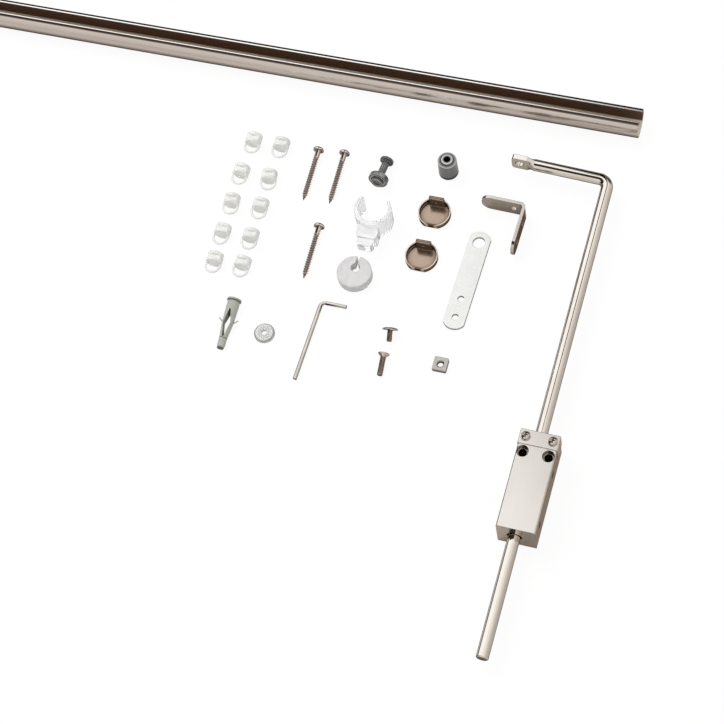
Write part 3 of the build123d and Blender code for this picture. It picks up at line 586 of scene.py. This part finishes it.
# End caps, in rings of painted light and shade: a cream floor with painted shade towards its wall, a shaded
# brown wall inside, a painted highlight on the rim, a brown wall outside darkened by painted reflection, and
# a painted highlight at the end of the tongue
capRings = [(0.0, (196, 178, 160)), (6.5, (190, 170, 152)), (8.8, (160, 136, 116)), (9.7, (112, 82, 62)),
            (10.25, (96, 66, 48)), (10.45, (252, 246, 238)), (10.9, (252, 246, 238)),
            (11.05, (150, 118, 98)), (11.5, (150, 118, 98)), (11.8, (226, 210, 200))]


def capMetal(centre):
    # painted highlights along the caps' edges as well
    return metal((176, 152, 134), (166, 142, 124), (190, 168, 150), (255, 251, 246),
                 streaks=(500, 500, 500), clouds=(200, 200, 200), edgeWidth=0.6, edgeShare=0.6,
                 streakShare=0.15, roughness=(0.20, 0.25), metallic=0.92, bump=0.02,
                 rimTint=(0.3, 0.2, 0.14), creviceReach=0, ringCentre=centre, rings=capRings)


metalLooks = {
    # the rail: painted highlights along its edges, painted light inside, painted highlights on its lips and a
    # painted shade line beside them
    "railNickel": metal((223, 213, 208), (217, 206, 200), (232, 224, 219), (252, 250, 248),
                        streaks=(18, 1400, 1400), clouds=(14, 240, 240), edgeWidth=1.2, edgeShare=0.5,
                        roughness=(0.15, 0.19), inside=trackInside,
                        bump=0.02, creviceReach=0, rimTint=(0.03, 0.015, 0.01)),
    "rodNickel": metal((236, 230, 222), (229, 222, 213), (242, 238, 232), (250, 248, 245),
                       streaks=(260, 260, 260), clouds=(80, 30, 80), roughness=(0.05, 0.09), bump=0.01,
                       rimTint=(0.02, 0.01, 0.01)),
    "capOneBronze": capMetal((-110.3, 183.9)),
    "capTwoBronze": capMetal((-110.5, 150.0)),
    # screws: painted highlights along their edges and painted shade in their recesses
    "screwNickel": metal((226, 217, 207), (210, 200, 190), (238, 232, 225), (250, 247, 244),
                         streaks=(1200, 300, 1200), roughness=(0.05, 0.1), edgeWidth=0.2,
                         edgeShare=0.9, rimTint=(0.12, 0.07, 0.05), creviceReach=1.8,
                         creviceColour=(30, 15, 8), creviceClear=0.92),
    # painted shade between a thread's turns
    "threadValley": metal((150, 122, 102), (136, 108, 88), (170, 146, 128), (190, 170, 154),
                          streaks=(1200, 1200, 1200), roughness=(0.3, 0.4), edgeWidth=0.1,
                          edgeShare=0.1, creviceReach=0),
    "plateNickel": metal((240, 240, 238), (236, 236, 233), (244, 244, 242), (240, 238, 235),
                         streaks=(900, 60, 900), streakShare=0.15, roughness=(0.16, 0.18), metallic=0.85,
                         bump=0.01, edgeWidth=0.3, edgeShare=0.1, rimTint=(0.05, 0.02, 0.01)),
    "bracketNickel": metal((214, 206, 198), (204, 195, 187), (224, 217, 210), (252, 251, 248),
                           streaks=(500, 500, 70), edgeShare=0.8, edgeWidth=0.35, roughness=(0.12, 0.18),
                           rimTint=(0.3, 0.22, 0.17)),
    "keySteel": metal((208, 202, 194), (196, 190, 182), (222, 217, 210), (246, 243, 240),
                      streaks=(900, 60, 900), roughness=(0.04, 0.08), edgeWidth=0.1, bump=0.02,
                      rimTint=(0.02, 0.01, 0.0)),
    "zincSteel": metal((200, 196, 190), (186, 181, 174), (214, 211, 206), (240, 238, 235),
                       streaks=(600, 600, 600), clouds=(420, 420, 420), roughness=(0.18, 0.28)),
    "bushBrass": metal((214, 188, 128), (198, 170, 110), (230, 210, 158), (240, 226, 190),
                       streaks=(1600, 300, 1600)),
    # the housing: a painted dark outline along its edges and deep painted shade in its recesses
    "housingNickel": metal((240, 235, 228), (235, 229, 222), (243, 239, 233), (84, 70, 60),
                           streaks=(900, 40, 900), clouds=(50, 30, 50), streakShare=0.15,
                           roughness=(0.15, 0.19), edgeWidth=0.45, edgeShare=0.6, bump=0.01,
                           creviceReach=5.0, creviceColour=(16, 9, 6), rimTint=(0.6, 0.52, 0.46)),
}

# The same in every plastic
plasticBody = {
    "IOR": 1.49,
    "Subsurface Radius": (1.0, 1.0, 1.0),
    "Subsurface Scale": 0.0015,
    "Coat IOR": 2.0,
    "Coat Roughness": 0.06,
}


def plasticFinish(name, look):
    # moulded plastic: faint cloudiness, a fine moulding grain, soft light in its depth and a faint painted
    # glow
    material, tree, shader = startMaterial(name)
    clouds = pattern(tree, look["clouds"], detail=2.5)
    grain = pattern(tree, look["grain"], detail=2.0)
    cloudy = mapped(tree, clouds, 0.0, 1.0, *finishFine["cloudBand"])
    tone = mixed(tree, cloudy, look["colour"], look["cloudColour"])
    specks = mapped(tree, grain, 0.0, look["speckShare"], *finishFine["speckBand"])
    tone = mixed(tree, specks, tone, look["speckColour"])
    mask, normal = edgeMask(tree, look["edgeWidth"])
    # a painted highlight along the edges, where its share is set
    tone = mixed(tree, product(tree, mask, look["edgeShare"]), tone, look["edgeColour"])
    tone = shadedTone(tree, tone, look)
    tree.links.new(tone, shader.inputs["Base Color"])
    rough = mapped(tree, grain, *look["roughness"], *finishFine["roughBand"])
    tree.links.new(rough, shader.inputs["Roughness"])
    for socket, value in plasticBody.items():
        shader.inputs[socket].default_value = value
    shader.inputs["Transmission Weight"].default_value = look["clear"]
    shader.inputs["Subsurface Weight"].default_value = look["depth"]
    shader.inputs["Coat Weight"].default_value = look["coat"]
    # painted glow: the plastic's own colour given off as light
    shader.inputs["Emission Color"].default_value = (*look["colour"], 1.0)
    shader.inputs["Emission Strength"].default_value = look["lit"]
    roughen(tree, shader, grain, look["bump"], normal)
    return material


def plastic(colour, cloudColour, speckColour, **other):
    look = {
        "colour": fromScreen(*colour),
        "cloudColour": fromScreen(*cloudColour),
        "speckColour": fromScreen(*speckColour),
        "speckShare": 0.3,
        "clouds": (180, 180, 180),
        "grain": (900, 900, 900),
        "roughness": (0.25, 0.4),
        "clear": 0.0,
        "depth": 0.0,
        "lit": 0.0,               # a faint painted glow, standing in for light scattered inside it
        "bump": 0.15,
        "coat": 0.0,
        "edgeWidth": 0.3,
        "edgeShare": 0.0,
        "edgeColour": fromScreen(236, 236, 236),
        # painted shade in crevices, off unless a reach is given
        "creviceReach": 0,
        "creviceColour": (40, 40, 41),
        "creviceClear": 0.8,
        "ringAxes": "XY",
    }
    look.update(other)
    return look


# The sleeve, in painted light and shade: a black bore of painted shade, a painted highlight on the boss rim,
# a shaded step, a painted highlight on the outer rim, and painted shade at the foot
sleeveRings = [(0.0, 8), (2.32, 8), (2.45, 128), (3.1, 150), (3.4, 240), (3.8, 240), (3.95, 18), (4.7, 26),
               (5.0, 116), (5.8, 122), (6.0, 205), (6.35, 205), (6.5, 118), (7.0, 112)]
sleeveLevels = [(0.0, 0.03), (1.8, 0.06), (3.0, 1.0), (17.0, 1.0)]
# The roller's wheel, in painted light and shade: painted shade in a ring at the hub, painted highlights on a
# step and on the rim; the axle carries painted shade where it meets the wheel and the button
wheelRings = [(0.0, 60), (4.1, 10), (4.6, 10), (4.8, 215), (5.3, 200), (5.6, 40), (6.0, 84), (6.4, 150),
              (6.65, 150), (6.8, 84)]
axleLevels = [(193.0, 1.0), (199.6, 1.0), (200.0, 0.1), (201.2, 0.15), (202.2, 1.0), (211.8, 1.0),
              (212.6, 0.15), (213.3, 0.15), (213.5, 1.0), (217.0, 1.0)]
# The button: bright hole, cloudy hub, clear web and a darker wall
buttonRings = [(0.0, 255), (2.0, 250), (2.4, 212), (3.6, 214), (4.3, 248), (5.7, 248), (6.1, 158), (6.7, 170),
               (7.1, 225)]
# The plug: painted shade at its tail end, in a ring at the waist and in a line under the flange
plugLevels = [(54.0, 0.2), (55.5, 0.25), (55.9, 1.0), (61.8, 1.0), (62.0, 0.3), (62.4, 0.3), (62.6, 1.0),
              (88.6, 1.0), (88.9, 0.35), (89.5, 0.4), (89.8, 1.0), (92.0, 1.0)]
plasticLooks = {
    # the axle: painted highlights along its edges and painted shade in its crevices and in bands
    "axleGrey": plastic((92, 92, 94), (82, 82, 84), (116, 116, 116), roughness=(0.1, 0.16), coat=0.5,
                        bump=0.05, edgeShare=0.95, edgeWidth=0.7, edgeColour=fromScreen(246, 246, 246),
                        creviceReach=1.0, creviceColour=(20, 20, 22), levels=("Y", axleLevels)),
    "wheelGrey": plastic((84, 84, 86), (74, 74, 76), (108, 108, 108), roughness=(0.1, 0.16), coat=0.3,
                         bump=0.05, ringAxes="XZ", ringCentre=(-153.85, 7.45), ringShare=0.85,
                         rings=wheelRings),
    "sleeveGrey": plastic((112, 112, 114), (102, 102, 104), (130, 130, 130), roughness=(0.14, 0.22),
                          coat=0.2, bump=0.05, edgeWidth=0.5, ringCentre=(-109.5, 218.5), ringShare=0.85,
                          rings=sleeveRings, levels=("Z", sleeveLevels)),
    "clearPlastic": plastic((246, 246, 247), (240, 240, 242), (250, 250, 250), clear=0.75,
                            depth=0.2, roughness=(0.12, 0.16), bump=0.02, lit=0.045),
    "buttonPlastic": plastic((244, 243, 244), (238, 237, 238), (250, 250, 250), clear=0.4,
                             depth=0.3, roughness=(0.12, 0.16), bump=0.02, lit=0.02,
                             ringCentre=(-198.7, 73.0), ringShare=0.8, rings=buttonRings),
    "milkyPlastic": plastic((236, 235, 235), (228, 227, 228), (246, 246, 246), clear=0.3,
                            depth=0.4, roughness=(0.12, 0.2), bump=0.02, lit=0.025),
    # the plug: painted highlights along its edges, painted shade in its crevices and in bands
    "plugPlastic": plastic((190, 192, 183), (176, 179, 169), (136, 138, 131), grain=(1500, 1500, 1500),
                           speckShare=0.6, roughness=(0.35, 0.5), bump=0.4, edgeShare=0.3,
                           creviceReach=3.0, creviceColour=(24, 25, 22), levels=("Y", plugLevels)),
    "camPlastic": plastic((224, 221, 212), (214, 210, 200), (236, 234, 228), roughness=(0.35, 0.5)),
    "gliderPlastic": plastic((248, 248, 246), (240, 240, 237), (252, 252, 250), clear=0.2,
                             depth=0.4, roughness=(0.14, 0.22), bump=0.02, lit=0.055),
}

finishes = {}
for finishName, finishLook in metalLooks.items():
    finishes[finishName] = metalFinish(finishName, finishLook)
for finishName, finishLook in plasticLooks.items():
    finishes[finishName] = plasticFinish(finishName, finishLook)
print("finishes mixed:", len(finishes))

# Which finish each carried-over piece gets; the gliders share one of their own
nodeFinishes = {
    "rail": "railNickel",
    "lift_rod": "rodNickel",
    "rod_collars": "zincSteel",
    "cam_pin": "zincSteel",
    "cam_sleeve": "camPlastic",
    "lift_slider": "camPlastic",
    "lift_housing": "housingNickel",
    "housing_back_plate": "zincSteel",
    "bearing_cap": "housingNickel",
    "bearing_bush": "bushBrass",
    "cap_screws": "screwNickel",
    "cap_washers": "screwNickel",
    "side_set_screws": "keySteel",
    "end_cap_1": "capOneBronze",
    "end_cap_2": "capTwoBronze",
    "wood_screws": "screwNickel",
    "roller_axle": "axleGrey",
    "roller_wheel": "wheelGrey",
    "spacer_sleeve": "sleeveGrey",
    "rail_clip": "clearPlastic",
    "split_collar": "milkyPlastic",
    "strap_plate": "plateNickel",
    "angle_bracket": "bracketNickel",
    "wall_plug": "plugPlastic",
    "screw_button": "buttonPlastic",
    "hex_key": "keySteel",
    "mushroom_screw": "screwNickel",
    "countersunk_screw": "screwNickel",
    "square_nut": "zincSteel",
}


def dressNode(name, finish):
    piece = nodes[name]
    for place in range(len(piece.data.materials)):
        piece.data.materials[place] = finishes[finish]
    if not piece.data.materials:
        piece.data.materials.append(finishes[finish])


for nodeName in nodes:
    dressNode(nodeName, nodeFinishes.get(nodeName, "gliderPlastic"))
print("carried-over pieces dressed")

# Shared making
makingFine = {
    "roundSteps": 48,
    "weldGap": 0.0005,
    "threadHalf": 0.3,          # of the pitch
    "domeSteps": 7,
    "domeRim": 0.3,             # of the head's height
    "domeBulge": 0.8,
    "recessTaper": (0.5, 0.6, 1.0),
    "recessWidth": 0.95,
    "threadSunk": 0.1,          # how deep a thread's root sits in the core
    "valleyPlay": 0.05,
    "sharpAngle": 35,
}


def spinShape(outline):
    # outline of radius and height pairs, turned once round Z
    bm = bmesh.new()
    verts = [bm.verts.new((radius, 0, height)) for radius, height in outline]
    edges = [bm.edges.new(pair) for pair in zip(verts, verts[1:])]
    bmesh.ops.spin(bm, geom=verts + edges, cent=(0, 0, 0), axis=(0, 0, 1), dvec=(0, 0, 0),
                   angle=2 * math.pi, steps=makingFine["roundSteps"], use_merge=True,
                   use_normal_flip=False, use_duplicate=False)
    bmesh.ops.remove_doubles(bm, verts=bm.verts, dist=makingFine["weldGap"])
    bmesh.ops.recalc_face_normals(bm, faces=bm.faces)
    return bm


def threadShape(core, crest, low, high, pitch, steps):
    # a ridge wound round Z from low to high, its ends closed
    bm = bmesh.new()
    root = core - makingFine["threadSunk"]
    half = pitch * makingFine["threadHalf"]
    corners = [(root, 0, low - half), (crest, 0, low), (root, 0, low + half)]
    verts = [bm.verts.new(corner) for corner in corners]
    face = bm.faces.new(verts)
    turns = (high - low) / pitch
    count = round(turns * steps)
    bmesh.ops.spin(bm, geom=verts + list(face.edges) + [face], cent=(0, 0, 0), axis=(0, 0, 1),
                   dvec=(0, 0, pitch / steps), angle=2 * math.pi * count / steps, steps=count,
                   use_merge=False, use_normal_flip=False, use_duplicate=False)
    bmesh.ops.remove_doubles(bm, verts=bm.verts, dist=makingFine["weldGap"])
    rims = [edge for edge in bm.edges if edge.is_boundary]
    if rims:
        bmesh.ops.holes_fill(bm, edges=rims)
    bmesh.ops.recalc_face_normals(bm, faces=bm.faces)
    return bm


def darkenValleys(bm, core, low, high):
    # the core's own faces under a thread take the second finish, a painted shade between the turns
    radius = core + makingFine["valleyPlay"]
    for face in bm.faces:
        spot = face.calc_center_median()
        if low < spot.z < high and max(math.hypot(*vert.co.xy) for vert in face.verts) < radius:
            face.material_index = 1


def addShape(bm, other):
    # puts another shape's mesh into bm
    mesh = bpy.data.meshes.new("passing")
    other.to_mesh(mesh)
    other.free()
    bm.from_mesh(mesh)
    bpy.data.meshes.remove(mesh)


def carve(bm, cutter):
    # takes the cutter's space out of bm and gives the new shape
    body = looseObject("carveBody", bm)
    tool = looseObject("carveTool", cutter)
    cut = body.modifiers.new("cut", "BOOLEAN")
    cut.operation = "DIFFERENCE"
    cut.solver = "EXACT"
    cut.object = tool
    bpy.context.view_layer.update()
    depsgraph = bpy.context.evaluated_depsgraph_get()
    mesh = bpy.data.meshes.new_from_object(body.evaluated_get(depsgraph))
    result = bmesh.new()
    result.from_mesh(mesh)
    bpy.data.objects.remove(body)
    bpy.data.objects.remove(tool)
    bpy.data.meshes.remove(mesh)
    return result


def crossRecess(bm, length, top, depth):
    # a screwdriver's crossed recess, one tapered blade after the other
    for angle in (0, math.pi / 2):
        blade = bmesh.new()
        bmesh.ops.create_cube(blade, size=1.0)
        bmesh.ops.scale(blade, vec=(length, makingFine["recessWidth"], 2 * depth), verts=blade.verts)
        low = [vert for vert in blade.verts if vert.co.z < 0]
        bmesh.ops.scale(blade, vec=makingFine["recessTaper"], verts=low)
        bmesh.ops.rotate(blade, cent=(0, 0, 0), matrix=Matrix.Rotation(angle, 3, "Z"), verts=blade.verts)
        bmesh.ops.translate(blade, vec=(0, 0, top), verts=blade.verts)
        bm = carve(bm, blade)
    return bm


def finishPiece(bm, name, finish, second, replaces, place=None, body="root"):
    # millimetres to metres, into place, smooth but for its sharp edges, and onto its body
    bm.transform(Matrix.Scale(mm, 4) if place is None else Matrix.Scale(mm, 4) @ place)
    piece = looseObject(name, bm)
    piece.data.shade_smooth()
    piece.data.set_sharp_from_angle(angle=math.radians(makingFine["sharpAngle"]))
    piece.data.materials.append(finishes[finish])
    piece.data.materials.append(finishes[second])
    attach(piece, body)
    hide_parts(*replaces)


def layDown(place, firstTouch, secondTouch, turn=0.0):
    # the turn and shift that lay an upright piece on two of its rims, its low end towards -Y
    firstRadius, firstHeight = firstTouch
    secondRadius, secondHeight = secondTouch
    lean = math.atan2(firstRadius - secondRadius, firstHeight - secondHeight)
    reach = firstRadius * math.cos(lean) - firstHeight * math.sin(lean)
    stand = Matrix.Translation((place[0], place[1], reach))
    stand = stand @ Matrix.Rotation(math.radians(turn), 4, "Z")
    return stand @ Matrix.Rotation(math.radians(-90) + lean, 4, "X")


def domeOutline(radius, height):
    # a screw head's top from its rim to its middle
    rim = height * makingFine["domeRim"]
    points = []
    for step in range(makingFine["domeSteps"]):
        angle = step / makingFine["domeSteps"] * math.pi / 2
        across = radius * math.cos(angle) ** makingFine["domeBulge"]
        points.append((across, rim + (height - rim) * math.sin(angle)))
    return points + [(0.0, height)]


# Wood screws: dome head with a crossed recess, plain neck, thread and point
woodScrew = {
    "length": 39.4,
    "shankRadius": 1.95,
    "coreRadius": 1.2,
    "tipLength": 5.0,
    "tipShare": 0.12,           # how slim the thread gets at the point
    "headRadius": 3.7,
    "headHeight": 2.6,
    "plainNeck": 5.0,
    "neckShare": 0.92,          # of the shank's radius
    "neckTaper": 1.2,
    "collarHeight": 0.6,        # where the neck widens under the head
    "collarShare": 1.1,
    "pitch": 1.75,
    "threadSteps": 20,
    "threadEnds": (1.2, 0.4),   # over the point and under the neck
    "valleyEnds": (1.0, 0.8),
    "recessShare": 1.15,        # of the head's radius
    "recessRise": 0.1,
    "recessDepth": 1.7,
    "places": [(-201.2, 214.2), (-182.8, 215.3), (-184.2, 156.4)],
}


def woodScrewOutline(look):
    neck = look["shankRadius"] * look["neckShare"]
    outline = [
        (0, -look["length"]),
        (look["coreRadius"], look["tipLength"] - look["length"]),
        (look["coreRadius"], -look["plainNeck"] - look["neckTaper"]),
        (neck, -look["plainNeck"]),
        (neck, -look["collarHeight"]),
        (look["shankRadius"] * look["collarShare"], 0.0),
        (look["headRadius"], 0.0),
    ]
    return outline + domeOutline(look["headRadius"], look["headHeight"])


def woodThread(look):
    # slimmer towards the point
    low, high = look["threadEnds"]
    thread = threadShape(look["coreRadius"], look["shankRadius"], -look["length"] + low,
                         -look["plainNeck"] - high, look["pitch"], look["threadSteps"])
    for vert in thread.verts:
        overPoint = vert.co.z + look["length"]
        if overPoint < look["tipLength"]:
            share = max(look["tipShare"], overPoint / look["tipLength"])
            vert.co.x *= share
            vert.co.y *= share
    return thread


def makeWoodScrews(look):
    whole = bmesh.new()
    low, high = look["valleyEnds"]
    headRim = (look["headRadius"], 0)
    threadRim = (look["shankRadius"], look["tipLength"] - look["length"])
    for place in look["places"]:
        screw = crossRecess(spinShape(woodScrewOutline(look)), look["headRadius"] * look["recessShare"],
                            look["headHeight"] + look["recessRise"], look["recessDepth"])
        addShape(screw, woodThread(look))
        darkenValleys(screw, look["coreRadius"], -look["length"] + low, -look["plainNeck"] - high)
        screw.transform(layDown(place, headRim, threadRim))
        addShape(whole, screw)
    finishPiece(whole, "woodScrewSet", "screwNickel", "threadValley", ["wood_screws"])


makeWoodScrews(woodScrew)
print("wood screws made")

# Machine screws, both M4
machineThread = {
    "radius": 2.0,
    "coreRadius": 1.62,
    "pitch": 0.7,
    "steps": 16,
    "start": 0.3,               # over the screw's end
    "chamferIn": 0.3,
    "chamferUp": 0.4,
    "recessRise": 0.05,
}
mushroomScrew = {
    "headRadius": 5.15,
    "headTop": 1.8,
    "length": 7.7,
    "underHead": 0.0,
    "threadGap": 0.3,           # from the underside of the head
    "valleyGap": 0.1,
    "recessShare": 0.85,        # of the head's radius
    "recessDepth": 1.3,
    "rim": 0.0,                 # the height of the rim that the head lies on
    "place": (-116.2, 91.4),
    "turn": 7.0,
}
flatScrew = {
    "headRadius": 3.9,
    "headTop": 0.0,
    "length": 15.4,
    "underHead": -2.2,
    "threadGap": 0.2,
    "valleyGap": 0.0,
    "neckTaper": 0.6,
    "edgeRounding": (0.1, 0.08),
    "recessShare": 1.1,
    "recessDepth": 1.4,
    "rim": -0.3,
    "place": (-115.9, 74.4),
    "turn": 3.5,
}


def mushroomHead(look):
    outline = [(machineThread["coreRadius"], 0.0), (look["headRadius"], 0.0)]
    return outline + domeOutline(look["headRadius"], look["headTop"])


def flatHead(look):
    across, down = look["edgeRounding"]
    return [
        (machineThread["coreRadius"], look["underHead"] - look["neckTaper"]),
        (machineThread["radius"], look["underHead"]),
        (look["headRadius"], look["rim"]),
        (look["headRadius"], -down),
        (look["headRadius"] - across, 0),
        (0, 0),
    ]


def makeMachineScrew(name, look, head, replaces):
    length = look["length"]
    core = machineThread["coreRadius"]
    end = [(0, -length), (core - machineThread["chamferIn"], -length),
           (core, -length + machineThread["chamferUp"])]
    screw = crossRecess(spinShape(end + head), look["headRadius"] * look["recessShare"],
                        look["headTop"] + machineThread["recessRise"], look["recessDepth"])
    addShape(screw, threadShape(core, machineThread["radius"], -length + machineThread["start"],
                                look["underHead"] - look["threadGap"], machineThread["pitch"],
                                machineThread["steps"]))
    darkenValleys(screw, core, -length, look["underHead"] - look["valleyGap"])
    place = layDown(look["place"], (look["headRadius"], look["rim"]), (machineThread["radius"], -length),
                    look["turn"])
    finishPiece(screw, name, "screwNickel", "threadValley", replaces, place)


makeMachineScrew("mushroomHeadScrew", mushroomScrew, mushroomHead(mushroomScrew), ["mushroom_screw"])
makeMachineScrew("flatHeadScrew", flatScrew, flatHead(flatScrew), ["countersunk_screw"])
print("machine screws made")
